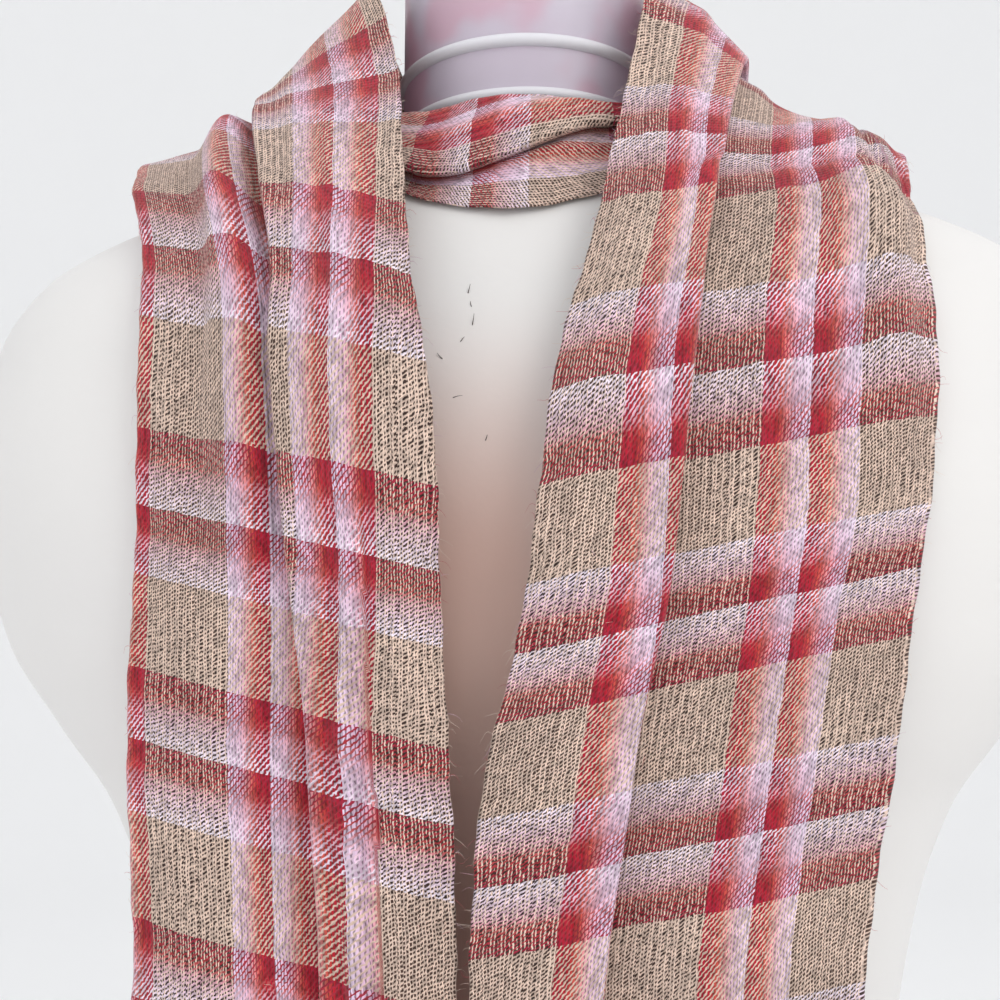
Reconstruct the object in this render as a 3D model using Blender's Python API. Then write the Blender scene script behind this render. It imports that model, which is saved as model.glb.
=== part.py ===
"""A plaid scarf wound once round the neck of a limbless dress form.

Metres, +Z up. The form stands on z = 0 with its neck on the Z axis and its chest towards -Y.
The scarf is one strip of cloth. Its middle crosses the front of the neck, its two halves cross
behind the neck, and they come forward over the shoulders and hang as two tails.
"""
import math

import bpy
import numpy as np

# Driving dimensions of the form
NECK_SEAT_Z = 0.616
NECK_TOP_Z = 0.728
NECK_OUTER_RADIUS = 0.0575
NECK_WALL = 0.0025
RIB_HEIGHTS = (0.6360, 0.6605)
RIB_RADIUS = 0.0029
TOUCH_GAP = 0.0003

# Driving dimensions of the cloth: the wall, and how far the middle of the lowest layer is from the
# form, at the least where it hangs and exactly where it has settled on the form
CLOTH_THICKNESS = 0.0014
REST_LIFT = 0.0022
LOOP_LIFT = 0.0024
LEFT_SETTLED_LIFT = 0.0029
RIGHT_SETTLED_LIFT = 0.0033

# The turned-back layer lies on the form from this height up, over this range
DROOP_FROM_Z = 0.44
DROOP_RANGE = 0.10
DROOP_END = 0.05

# Mesh density. The torso's rings are closest on its shoulders and collar.
TORSO_SIDES = 44
TORSO_RINGS = (
    0.0, 0.008, *np.linspace(0.03, 0.53, 15), 0.547, 0.560, 0.571, 0.581, 0.588, 0.593, 0.597,
    0.600, 0.604, 0.608, 0.612, NECK_SEAT_Z,
)
NECK_SIDES = 32
TURN_STEPS = 4
FORM_STEPS = 6

# Torso sections, from the flat underside up to the collar that the neck stands on
TORSO_COLUMNS = ("height", "half_width", "front", "back", "squareness")
TORSO_ROWS = (
    (0.000, 0.158, 0.100, 0.104, 2.3),
    (0.012, 0.166, 0.106, 0.110, 2.3),
    (0.070, 0.174, 0.110, 0.116, 2.3),
    (0.150, 0.166, 0.106, 0.108, 2.3),
    (0.225, 0.152, 0.102, 0.096, 2.3),
    (0.290, 0.162, 0.110, 0.100, 2.4),
    (0.335, 0.178, 0.120, 0.106, 2.5),
    (0.365, 0.200, 0.125, 0.110, 2.6),
    (0.400, 0.225, 0.128, 0.112, 2.6),
    (0.445, 0.240, 0.127, 0.113, 2.6),
    (0.490, 0.245, 0.120, 0.112, 2.5),
    (0.530, 0.243, 0.108, 0.108, 2.4),
    (0.560, 0.228, 0.096, 0.100, 2.3),
    (0.580, 0.198, 0.086, 0.092, 2.2),
    (0.594, 0.155, 0.077, 0.084, 2.1),
    (0.603, 0.108, 0.069, 0.075, 2.0),
    (0.611, 0.074, 0.0640, 0.066, 2.0),
    (0.616, 0.0625, 0.0620, 0.0625, 2.0),
)
TORSO = dict(zip(TORSO_COLUMNS, np.array(TORSO_ROWS).T))

# Cloth sections in millimetres, one row a section. "in" is the edge nearer the neck or its top,
# "out" the edge nearer the arm or the lower one. fold_at and overlap place the pleat across the
# section as shares of its width, under is how far the outer edge turns back beneath, and step is
# the distance between folded layers.
SECTION_COLUMNS = (
    "in_x", "in_y", "in_z", "out_x", "out_y", "out_z", "fold_at", "overlap", "under", "step",
)
IN_EDGE = slice(SECTION_COLUMNS.index("in_x"), SECTION_COLUMNS.index("in_z") + 1)
OUT_EDGE = slice(SECTION_COLUMNS.index("out_x"), SECTION_COLUMNS.index("out_z") + 1)
PLEAT = slice(SECTION_COLUMNS.index("fold_at"), SECTION_COLUMNS.index("step") + 1)
FOLD_AT = SECTION_COLUMNS.index("fold_at")
STEP = SECTION_COLUMNS.index("step")
LEFT_TAIL = (
    (-12, -136, 100, -126, -128, 108, 0.36, 0.22, 0.42, 4.6),
    (-12, -136, 250, -128, -127, 275, 0.38, 0.24, 0.42, 4.6),
    (-15, -139, 350, -134, -124, 378, 0.40, 0.26, 0.42, 4.6),
    (-18, -141, 430, -136, -119, 458, 0.47, 0.28, 0.42, 4.6),
    (-24, -134, 490, -141, -107, 518, 0.50, 0.28, 0.38, 4.6),
    (-31, -122, 530, -151, -84, 560, 0.47, 0.28, 0.30, 4.6),
    (-38, -100, 575, -168, -50, 600, 0.48, 0.26, 0.22, 4.6),
    (-45, -69, 637, -174, -10, 622, 0.52, 0.20, 0.16, 4.4),
    (-62, -32, 700, -166, 45, 614, 0.53, 0.16, 0.14, 4.0),
    (-72, 26, 712, -122, 88, 603, 0.56, 0.14, 0.12, 3.4),
    (-50, 64, 664, -62, 94, 599, 0.56, 0.14, 0.12, 3.2),
    (0, 66, 650, 0, 88, 601, 0.56, 0.14, 0.12, 3.2),
)
RIGHT_TAIL = (
    (-8, -137, 100, 112, -128, 108, 0.33, 0.18, 0.24, 4.6),
    (-11, -139, 262, 121, -126, 285, 0.32, 0.20, 0.24, 4.6),
    (-6, -142, 345, 136, -122, 372, 0.34, 0.22, 0.22, 4.6),
    (6, -144, 405, 149, -113, 436, 0.34, 0.23, 0.20, 4.6),
    (14, -141, 455, 156, -108, 484, 0.33, 0.22, 0.20, 4.6),
    (21, -127, 505, 160, -93, 530, 0.34, 0.22, 0.18, 4.6),
    (32, -108, 555, 161, -62, 576, 0.34, 0.22, 0.16, 4.6),
    (44, -74, 622, 165, -22, 612, 0.34, 0.20, 0.14, 4.4),
    (54, -42, 690, 160, 42, 616, 0.38, 0.16, 0.10, 4.0),
    (72, 26, 716, 118, 92, 604, 0.50, 0.14, 0.07, 3.4),
)
BACK_STRETCH = (
    (72, 26, 716, 118, 92, 604, 0.50, 0.14, 0.12, 3.4),
    (44, 72, 704, 58, 108, 599, 0.54, 0.14, 0.12, 3.2),
    (-2, 84, 696, -2, 108, 602, 0.54, 0.14, 0.12, 3.2),
    (-32, 78, 706, -35, 98, 652, 0.54, 0.14, 0.10, 3.0),
    (-50, 52, 718, -58, 68, 684, 0.54, 0.16, 0.10, 2.8),
)
FRONT_LOOP = (
    (-63, -16, 650, -71, -22, 622, 0.80, 0.26, 0.0, 3.2),
    (-57, -40, 635, -69, -53, 606, 0.82, 0.26, 0.0, 3.4),
    (-34, -60, 626, -39, -84, 579, 0.82, 0.28, 0.0, 3.8),
    (0, -67, 628, 0, -94, 572, 0.56, 0.28, 0.0, 3.8),
    (35, -60, 626, 41, -85, 579, 0.26, 0.16, 0.0, 3.8),
    (57, -40, 635, 70, -53, 606, 0.26, 0.14, 0.0, 3.4),
    (63, -16, 650, 72, -22, 622, 0.26, 0.14, 0.0, 3.2),
)

# Ridges and turned edges on the open panel, one row a fold: where it starts and ends along the
# stretch and across it as shares, then its width, height and lean in millimetres
RIDGE_COLUMNS = ("from_s", "to_s", "from_q", "to_q", "width", "height", "lean")
LEFT_RIDGES = (
    (0.40, 0.86, 0.62, 0.69, 20, 13, -2),
    (0.00, 0.52, 0.80, 0.70, 40, 5, 0),
)
RIGHT_RIDGES = (
    (0.50, 0.98, 1.00, 0.68, 40, 9, -2),
    (0.00, 0.62, 0.70, 0.64, 46, 5, 0),
)
BACK_RIDGES = ((0.0, 0.8, 0.72, 0.80, 26, 4, 0),)
MM = 0.001


def smooth_column(keys, values, x):
    """Value at x on a smooth curve through the keys, with no overshoot between them."""
    keys = np.asarray(keys, float)
    values = np.asarray(values, float)
    steps = np.diff(keys)
    slopes = np.diff(values) / steps
    tangents = np.zeros_like(values)
    for i in range(1, len(keys) - 1):
        if slopes[i - 1] * slopes[i] > 0:
            total = steps[i - 1] + steps[i]
            w_before = total + steps[i]
            w_after = total + steps[i - 1]
            tangents[i] = (w_before + w_after) / (w_before / slopes[i - 1] + w_after / slopes[i])
    tangents[0] = slopes[0]
    tangents[-1] = slopes[-1]
    i = int(np.clip(np.searchsorted(keys, x) - 1, 0, len(steps) - 1))
    t = float(np.clip((x - keys[i]) / steps[i], 0.0, 1.0))
    return (
        (1 + 2 * t) * (1 - t) ** 2 * values[i]
        + t * (1 - t) ** 2 * steps[i] * tangents[i]
        + t * t * (3 - 2 * t) * values[i + 1]
        + t * t * (t - 1) * steps[i] * tangents[i + 1]
    )


def form_radius(angle, z):
    """Distance from the Z axis to the form's surface at this angle and height."""
    if z > NECK_SEAT_Z:
        return NECK_OUTER_RADIUS + RIB_RADIUS
    height = max(z, 0.0)
    half_width, front, back, power = (
        smooth_column(TORSO["height"], TORSO[name], height) for name in TORSO_COLUMNS[1:]
    )
    depth = front if math.sin(angle) < 0 else back
    across = abs(math.cos(angle)) / half_width
    along = abs(math.sin(angle)) / depth
    return (across ** power + along ** power) ** (-1 / power)


def off_form(point, lift, settled=False):
    """The point, moved along the form's normal until it is at least lift away from it, or exactly
    lift away where it has settled."""
    x, y, z = point
    step = 0.002
    for _ in range(FORM_STEPS):
        angle = math.atan2(y, x)
        radial = math.hypot(x, y)
        slope = (form_radius(angle, z + step) - form_radius(angle, z - step)) / (2 * step)
        slope = max(min(slope, 0.6), -6.0)
        size = math.hypot(1.0, slope)
        short = lift - (radial - form_radius(angle, z)) / size
        if short <= 0 and not settled:
            break
        radial += short / size
        z -= short * slope / size
        x = radial * math.cos(angle)
        y = radial * math.sin(angle)
    return np.array((x, y, z))


def new_material(name, colour, roughness, alpha=1.0):
    material = bpy.data.materials.new(name)
    material.use_nodes = True
    shader = material.node_tree.nodes["Principled BSDF"]
    shader.inputs["Base Color"].default_value = (*colour, 1.0)
    shader.inputs["Roughness"].default_value = roughness
    shader.inputs["Metallic"].default_value = 0.0
    shader.inputs["Alpha"].default_value = alpha
    return material


def new_object(name, vertices, faces, material):
    mesh = bpy.data.meshes.new(name)
    mesh.from_pydata([tuple(map(float, v)) for v in vertices], [], faces)
    mesh.materials.append(material)
    mesh.shade_smooth()
    mesh.set_sharp_from_angle(angle=math.radians(40))
    thing = bpy.data.objects.new(name, mesh)
    bpy.context.scene.collection.objects.link(thing)
    return thing


def build_torso(material):
    """The torso: smooth rings up the section table, closed by a flat base and a flat collar."""
    vertices = []
    for z in TORSO_RINGS:
        for k in range(TORSO_SIDES):
            angle = 2 * math.pi * k / TORSO_SIDES
            r = form_radius(angle, z)
            vertices.append((r * math.cos(angle), r * math.sin(angle), z))
    faces = []
    for i in range(len(TORSO_RINGS) - 1):
        for k in range(TORSO_SIDES):
            a = i * TORSO_SIDES + k
            b = i * TORSO_SIDES + (k + 1) % TORSO_SIDES
            faces.append((a, b, b + TORSO_SIDES, a + TORSO_SIDES))
    last = (len(TORSO_RINGS) - 1) * TORSO_SIDES
    faces.append(tuple(reversed(range(TORSO_SIDES))))
    faces.append(tuple(range(last, last + TORSO_SIDES)))
    return new_object("form_torso", vertices, faces, material)


def neck_profile():
    """Outer side with its ribs from bottom to top, then the bore from top to bottom."""
    profile = [(NECK_OUTER_RADIUS, NECK_SEAT_Z + TOUCH_GAP)]
    for height in RIB_HEIGHTS:
        for k in range(5):
            turn = -math.pi / 2 + math.pi * k / 4
            r = NECK_OUTER_RADIUS + RIB_RADIUS * math.cos(turn)
            profile.append((r, height + RIB_RADIUS * math.sin(turn)))
    profile.append((NECK_OUTER_RADIUS, NECK_TOP_Z - NECK_WALL / 2))
    profile.append((NECK_OUTER_RADIUS - NECK_WALL / 2, NECK_TOP_Z))
    profile.append((NECK_OUTER_RADIUS - NECK_WALL, NECK_TOP_Z - NECK_WALL / 2))
    profile.append((NECK_OUTER_RADIUS - NECK_WALL, NECK_SEAT_Z + TOUCH_GAP))
    return profile


def build_neck(material):
    """The hollow neck: its profile turned round the Z axis."""
    profile = neck_profile()
    count = len(profile)
    vertices = []
    for k in range(NECK_SIDES):
        angle = 2 * math.pi * k / NECK_SIDES
        vertices += [(r * math.cos(angle), r * math.sin(angle), z) for r, z in profile]
    faces = []
    for k in range(NECK_SIDES):
        here = k * count
        there = (k + 1) % NECK_SIDES * count
        for j in range(count):
            nxt = (j + 1) % count
            faces.append((here + j, there + j, there + nxt, here + nxt))
    return new_object("form_neck", vertices, faces, material)


class Stretch:
    """A smooth run of cloth sections: where each point across and along it lies."""

    def __init__(self, rows, ridges, flip, settled_lift=None, rest_lift=REST_LIFT):
        self.rows = np.array(rows, float)
        self.rows[:, IN_EDGE] *= MM
        self.rows[:, OUT_EDGE] *= MM
        self.rows[:, STEP] *= MM
        self.ridges = ridges
        self.flip = flip
        self.settled_lift = settled_lift
        self.rest_lift = rest_lift
        middle = (self.rows[:, IN_EDGE] + self.rows[:, OUT_EDGE]) / 2
        gaps = np.linalg.norm(np.diff(middle, axis=0), axis=1)
        self.keys = np.concatenate(((0.0,), np.cumsum(gaps)))
        self.length = self.keys[-1]

    def row(self, s):
        s = min(max(s, 0.0), self.length)
        return np.array([smooth_column(self.keys, column, s) for column in self.rows.T])

    def base(self, s, q):
        row = self.row(s)
        return off_form(row[IN_EDGE] * (1 - q) + row[OUT_EDGE] * q, self.rest_lift)

    def frame(self, s, q):
        """The base point, and the directions across the cloth and out from the form there."""
        across = self.base(s, q + 0.04) - self.base(s, q - 0.04)
        along = self.base(s + 0.006, q) - self.base(s - 0.006, q)
        out = np.cross(along, across) * self.flip
        return self.base(s, q), across / np.linalg.norm(across), out / np.linalg.norm(out)

    def ridge(self, s, reach, width):
        """How far the ridges move a point of the open panel across and out."""
        shift = 0.0
        lift = 0.0
        for row in self.ridges:
            fold = dict(zip(RIDGE_COLUMNS, row))
            t = (s / self.length - fold["from_s"]) / (fold["to_s"] - fold["from_s"])
            t = min(max(t, 0.0), 1.0)
            centre = (fold["from_q"] + (fold["to_q"] - fold["from_q"]) * t) * width
            near = max(0.0, 1 - abs(reach - centre) / (fold["width"] * MM))
            rise = near * near * (3 - 2 * near) * math.sin(math.pi * t) ** 0.7
            lift += rise * fold["height"] * MM
            shift += rise * fold["lean"] * MM
        return shift, lift


def ease(t):
    t = min(max(t, 0.0), 1.0)
    return t * t * (3 - 2 * t)


def pleat_profile(width, fold_at, overlap, under, step, panel_steps):
    """Points (across, lift, open) from the inner edge over the pleat to the outer edge. open is 1
    on the open panel, and -1, -2 and -3 on the layer turned back beneath it."""
    radius = step / 2
    fold = fold_at * width
    hidden = fold - overlap * width
    floor = step if under else 0.0
    top = floor + 2 * step
    points = []
    for k in range(panel_steps):
        reach = fold * k / panel_steps
        blend = 0.45 + 0.55 * ease(reach / (hidden - radius))
        points.append((reach, floor + (top - floor) * blend, 0))
    for k in range(TURN_STEPS + 1):
        turn = math.pi * k / TURN_STEPS
        points.append((fold + radius * math.sin(turn), top - radius + radius * math.cos(turn), 0))
    points.append(((fold + hidden) / 2, floor + step, 0))
    for k in range(TURN_STEPS + 1):
        turn = math.pi * k / TURN_STEPS
        points.append((hidden - radius * math.sin(turn), floor + radius + radius * math.cos(turn), 0))
    points.append(((fold + hidden) / 2, floor, 0))
    start = fold + radius
    for k in range(panel_steps + 1):
        points.append((start + (width - start) * k / panel_steps, floor, 1))
    if not under:
        return points
    points.pop()
    for k in range(TURN_STEPS + 1):
        turn = math.pi * k / TURN_STEPS
        points.append((width + radius * math.sin(turn), floor - radius + radius * math.cos(turn), 0))
    for k in range(1, 4):
        points.append((width * (1 - under * k / 3), 0.0, -k))
    return points


def cloth_grid(stretch, rows, panel_steps, start=0.0):
    """The middle surface of a stretch: rows along it, each a folded section across it."""
    grid = []
    for i in range(rows):
        s = start + (stretch.length - start) * i / (rows - 1)
        row = stretch.row(s)
        width = float(np.linalg.norm(row[OUT_EDGE] - row[IN_EDGE]))
        line = []
        for reach, height, is_open in pleat_profile(width, *row[PLEAT], panel_steps):
            if is_open == 1:
                shift, lift = stretch.ridge(s, reach, width)
                edge = ease((reach / width - row[FOLD_AT]) * 8) * ease((1 - reach / width) * 12)
                reach += shift * edge
                height += lift * edge
            q = min(max(reach / width, 0.0), 1.0)
            point, across, out = stretch.frame(s, q)
            point = point + across * (reach - q * width) + out * height
            if is_open < 0 and stretch.settled_lift:
                droop = ease((point[2] - DROOP_FROM_Z) / DROOP_RANGE) * min(1.0, -is_open / 2)
                droop *= ease((stretch.length - s - DROOP_END) / DROOP_RANGE)
                settled = off_form(point, stretch.settled_lift, settled=True)
                point = point * (1 - droop) + settled * droop
            line.append(point)
        grid.append(line)
    return np.array(grid)


def cloth_solid(name, grid, material):
    """A wall of even thickness on both sides of a grid of points, closed round its edge."""
    rows, cols = grid.shape[:2]
    along = np.gradient(grid, axis=0)
    across = np.gradient(grid, axis=1)
    normal = np.cross(along, across)
    normal /= np.linalg.norm(normal, axis=2, keepdims=True)
    half = CLOTH_THICKNESS / 2
    top = grid + normal * half
    bottom = grid - normal * half
    vertices = list(top.reshape(-1, 3)) + list(bottom.reshape(-1, 3))
    offset = rows * cols
    faces = []
    for i in range(rows - 1):
        for j in range(cols - 1):
            a = i * cols + j
            for face in ((a, a + cols, a + cols + 1), (a, a + cols + 1, a + 1)):
                faces.append(face)
                faces.append(tuple(offset + v for v in reversed(face)))
    rim = list(range(cols))
    rim += [i * cols + cols - 1 for i in range(1, rows)]
    rim += [(rows - 1) * cols + j for j in range(cols - 2, -1, -1)]
    rim += [i * cols for i in range(rows - 2, 0, -1)]
    for a, b in zip(rim, rim[1:] + rim[:1]):
        faces.append((a, b, offset + b, offset + a))
    return new_object(name, vertices, faces, material)


def main():
    for thing in list(bpy.data.objects):
        bpy.data.objects.remove(thing, do_unlink=True)
    white = new_material("form_white", (0.78, 0.77, 0.76), 0.55)
    clear = new_material("neck_clear", (0.62, 0.60, 0.64), 0.22, 0.5)
    red = new_material("cloth_red", (0.46, 0.10, 0.11), 0.9)
    taupe = new_material("cloth_taupe", (0.40, 0.31, 0.25), 0.9)
    pink = new_material("cloth_pink", (0.70, 0.38, 0.42), 0.9)
    build_torso(white)
    build_neck(clear)
    left = Stretch(LEFT_TAIL, LEFT_RIDGES, 1.0, LEFT_SETTLED_LIFT)
    right = Stretch(RIGHT_TAIL, RIGHT_RIDGES, -1.0, RIGHT_SETTLED_LIFT)
    back = Stretch(BACK_STRETCH, BACK_RIDGES, -1.0)
    front = Stretch(FRONT_LOOP, (), -1.0, rest_lift=LOOP_LIFT)
    cloth_solid("scarf_left_tail", cloth_grid(left, 29, 7), red)
    cloth_solid("scarf_right_tail", cloth_grid(right, 27, 7), taupe)
    cloth_solid("scarf_back_stretch", cloth_grid(back, 12, 4, start=0.001), pink)
    cloth_solid("scarf_front_loop", cloth_grid(front, 16, 4), pink)


main()
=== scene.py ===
"""The looks of the plaid scarf on its dress form: fine cloth, weave, form finish, light and camera.

Metres, +Z up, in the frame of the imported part: the form stands on z = 0 with its neck on the Z
axis and its chest towards -Y. Each stretch of the scarf is one fine shell on the sections that its
solid has, with a place on the flat cut at every point, and the plaid is woven from those places.
"""
import math

import bpy
import numpy as np
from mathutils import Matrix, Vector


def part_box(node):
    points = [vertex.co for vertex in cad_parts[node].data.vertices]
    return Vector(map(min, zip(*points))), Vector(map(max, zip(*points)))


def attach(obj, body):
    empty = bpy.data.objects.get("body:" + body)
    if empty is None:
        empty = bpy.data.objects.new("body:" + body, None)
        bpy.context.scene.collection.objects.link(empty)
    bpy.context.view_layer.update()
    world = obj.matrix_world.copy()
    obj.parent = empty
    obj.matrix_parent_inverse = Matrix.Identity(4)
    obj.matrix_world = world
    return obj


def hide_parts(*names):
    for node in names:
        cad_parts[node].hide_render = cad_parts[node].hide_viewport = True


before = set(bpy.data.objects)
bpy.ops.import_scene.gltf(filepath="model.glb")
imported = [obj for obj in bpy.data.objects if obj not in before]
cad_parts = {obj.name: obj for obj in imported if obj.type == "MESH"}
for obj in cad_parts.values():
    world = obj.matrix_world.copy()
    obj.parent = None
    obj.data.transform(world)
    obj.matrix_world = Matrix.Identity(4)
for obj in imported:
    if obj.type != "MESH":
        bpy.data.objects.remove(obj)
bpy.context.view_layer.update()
MM = 0.001

# Camera, at the photograph's viewing angle. The picture is 1000 pixels wide.
PICTURE_SIDE = 1000
FOCAL_PIXELS = 1375
SENSOR_WIDTH = 36.0
CAMERA_DISTANCE = 0.62
CAMERA_HEIGHT = 0.38
CAMERA_AZIMUTH = math.radians(4)
CAMERA_PITCH = math.radians(8)
CAMERA_YAW = CAMERA_AZIMUTH + math.atan(27 / FOCAL_PIXELS)

# The form, from its own record box and the sizes that its solids have
NECK_SEAT_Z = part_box("form_torso")[1].z
NECK_TOP_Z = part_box("form_neck")[1].z
NECK_OUTER_RADIUS = 0.0575
NECK_WALL = 0.0025
RIB_HEIGHTS = (0.6360, 0.6605)
RIB_RADIUS = 0.0029
TOUCH_GAP = 0.0003
TORSO_SIDES = 160
TORSO_RING_STEP = 0.006
NECK_SIDES = 128

# Torso sections, from the flat underside up to the collar that the neck stands on
TORSO_COLUMNS = ("height", "half_width", "front", "back", "squareness")
TORSO_ROWS = np.array((
    (0.000, 0.158, 0.100, 0.104, 2.3),
    (0.012, 0.166, 0.106, 0.110, 2.3),
    (0.070, 0.174, 0.110, 0.116, 2.3),
    (0.150, 0.166, 0.106, 0.108, 2.3),
    (0.225, 0.152, 0.102, 0.096, 2.3),
    (0.290, 0.162, 0.110, 0.100, 2.4),
    (0.335, 0.178, 0.120, 0.106, 2.5),
    (0.365, 0.200, 0.125, 0.110, 2.6),
    (0.400, 0.225, 0.128, 0.112, 2.6),
    (0.445, 0.240, 0.127, 0.113, 2.6),
    (0.490, 0.245, 0.120, 0.112, 2.5),
    (0.530, 0.243, 0.108, 0.108, 2.4),
    (0.560, 0.228, 0.096, 0.100, 2.3),
    (0.580, 0.198, 0.086, 0.092, 2.2),
    (0.594, 0.155, 0.077, 0.084, 2.1),
    (0.603, 0.108, 0.069, 0.075, 2.0),
    (0.611, 0.074, 0.0640, 0.066, 2.0),
    (0.616, 0.0625, 0.0620, 0.0625, 2.0),
))

# The flat cut, in metres, and its plaid in millimetres. Stripes run along the scarf in sets of two,
# bands run across it in sets of two, and each stripe or band fades from red to lilac.
CUT_WIDTH = 0.26
STRIPE_FIRST = 29.0
STRIPE_WIDTH = 18.5
STRIPE_REPEAT = 77.0
STRIPE_SETS_END = 220.0
BAND_WIDTH = 26.0
BAND_REPEAT = 88.0

# The weave. Pitches are in millimetres, slants in turns of the wave for each millimetre across.
WARP_PITCH = 1.25
WEFT_PITCH = 1.55
RIB_PITCH = 3.3
FLOAT_STEP = 2.2
FLOAT_SLANT = 0.40
TWILL_PITCH = 2.3
TWILL_SLANT = 0.48
OVER_PITCH = 2.6
OVER_SLANT = 0.7

# Unevenness of the weave: noise scales on the flat cut in metres, and how far they move the yarns
DRIFT_SCALE = 120.0
DRIFT_SIZE = 1.6
DRIFT_ALONG = -0.8
WOBBLE_SCALE = 800.0
WARP_WOBBLE = 0.45
WEFT_WOBBLE = 0.6
OVER_WOBBLE = 0.5
GROUND_SLIP = 3.0
BLOTCH_SCALE = 420.0
LOOSE_SCALE = 15.0
SHADE_SCALE = 26.0

# How much ribs, loose parts, stripes and bands open or fill the yarns, as shares of a wave's height
RIB_ON_WARP = 1.1
RIB_ON_WEFT = 0.35
RIB_ON_BELOW = 0.5
RIB_WHERE_LOOSE = 0.35
LOOSE_ON_WARP = 0.30
LOOSE_ON_WEFT = 0.20
LOOSE_ON_BELOW = 0.45
STRIPE_ON_WARP = 0.62
STRIPE_ON_WEFT = 0.24
BAND_ON_WEFT = 0.45

# Ranges over which a wave or a noise fades from none to all, and the values between which it does
RIB_RANGE = (-0.1, 0.7)
BLOTCH_RANGE = (0.36, 0.62, 0.25, 1.2)
LOOSE_RANGE = (0.42, 0.56)
WARP_RANGE = (-0.08, 0.50)
WEFT_RANGE = (0.02, 0.46)
OVER_RANGE = (-0.45, 0.25)
BELOW_RANGE = (-0.75, 0.0)
GAP_RANGE = (0.1, 0.8)
TONE_RANGE = (0.0, 1.0, 0.72, 1.22)
SHADE_RANGE = (0.25, 0.75, 0.87, 1.01)
# Shares: how much warp colour shows in the painted shade of the stripes' gaps, and how far weft lying below
# is darkened towards the painted gap shade
STRIPE_GAP_SHARE = 0.32
DEEP_WEFT_SHARE = 0.35

# The cloth's shell
SHELL_THICKNESS = 0.0006
REST_LIFT = 0.0022
LOOP_LIFT = 0.0024
LEFT_SETTLED_LIFT = 0.0029
RIGHT_SETTLED_LIFT = 0.0033
DROOP_FROM_Z = 0.44
DROOP_RANGE = 0.10
DROOP_END = 0.05
FORM_STEPS = 6
SLOPE_STEP = 0.002
SLOPE_LIMITS = (-6.0, 0.6)
INNER_RISE = 0.45

# How many points each part of a section has, from the inner edge to the turned-back layer
INNER_POINTS = 34
TURN_POINTS = 8
HIDDEN_POINTS = 9
OPEN_POINTS = 46
UNDER_POINTS = 14

# Small waves of the cut edges: height in metres, rate along the stretch and phase. Then those of the
# face, with a rate across it as well.
EDGE_WAVES = ((0.0007, 43, 0.6), (0.0003, 167, 2.1), (0.0002, 397, 0.0))
FACE_WAVES = ((0.00022, 97, 61, 0.4), (0.00018, 53, -143, 1.9), (0.00010, 211, 173, 3.0))

# Loose fibres on each of the two tails
FIBRE_STEPS = 4
EDGE_FIBRES = 170
FACE_FIBRES = 220
FIBRE_LENGTHS = (0.0015, 0.0055)
FIBRE_RADIUS = 0.00008
FIBRE_BEND = 0.25
FIBRE_SAG = 0.25
FIBRE_SHARES = [0.5, 0.25, 0.25]

# Scratches on the chest: the angle round the form in degrees, the height and length in millimetres
# and the lean in degrees
SCRATCH_RADIUS = 0.00022
SCRATCH_BEND = 0.05
SCRATCH_COLUMNS = ("angle", "height", "length", "lean")
SCRATCHES = (
    (-98.0, 533, 5, 8),
    (-97.0, 527, 3, -12),
    (-96.5, 519, 6, 4),
    (-98.5, 512, 3, 30),
    (-101.5, 505, 4, -35),
    (-99.0, 489, 4, 62),
    (-93.0, 472, 3, 15),
)

# The stage and the light
STAGE_RADIUS = 3.2
STAGE_COVE = 1.0
STAGE_WALL = 2.6
STAGE_SIDES = 96
WORLD_COLOUR = (0.97, 0.98, 1.0, 1.0)
WORLD_STRENGTH = 0.975
KEY_WATTS = 9.5
FILL_WATTS = 3.0

# Cloth sections in millimetres, one row a section. "in" is the edge nearer the neck or its top,
# "out" the edge nearer the arm or the lower one. fold_at and overlap place the pleat across the
# section as shares of its width, under is how far the outer edge turns back beneath, and step is
# the distance between folded layers. u_in, u_fold, u_open and u_out say which place across the cut
# lies at the inner edge, on the pleat, where the open panel comes out from under it and at the
# outer edge, and v is the place along the cut.
SECTION_COLUMNS = (
    "in_x", "in_y", "in_z", "out_x", "out_y", "out_z", "fold_at", "overlap", "under", "step",
    "u_in", "u_fold", "u_open", "u_out", "v",
)
LEFT_TAIL = (
    (-12, -136, 100, -126, -128, 108, 0.36, 0.22, 0.42, 4.6, 0, 52, 101, 192, -444),
    (-12, -136, 250, -128, -127, 275, 0.38, 0.24, 0.42, 4.6, 0, 54, 102, 192, -290),
    (-15, -139, 350, -134, -124, 378, 0.40, 0.26, 0.42, 4.6, 0, 57, 106, 190, -188),
    (-18, -141, 430, -136, -119, 458, 0.47, 0.28, 0.42, 4.6, 2, 75, 116, 188, -106),
    (-24, -134, 490, -141, -107, 518, 0.50, 0.28, 0.38, 4.6, 7, 77, 118, 188, -57),
    (-31, -122, 530, -151, -84, 560, 0.47, 0.28, 0.30, 4.6, 13, 79, 112, 188, -27),
    (-38, -100, 575, -168, -50, 600, 0.48, 0.26, 0.22, 4.6, 17, 86, 106, 188, 9),
    (-45, -69, 637, -174, -10, 622, 0.52, 0.20, 0.16, 4.4, 20, 88, 104, 186, 62),
    (-62, -32, 700, -166, 45, 614, 0.53, 0.16, 0.14, 4.0, 20, 88, 106, 184, 117),
    (-72, 26, 712, -122, 88, 603, 0.56, 0.14, 0.12, 3.4, 16, 86, 110, 184, 164),
    (-50, 64, 664, -62, 94, 599, 0.56, 0.14, 0.12, 3.2, 0, 80, 110, 170, 220),
    (0, 66, 650, 0, 88, 601, 0.56, 0.14, 0.12, 3.2, 0, 80, 110, 165, 270),
)
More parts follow.
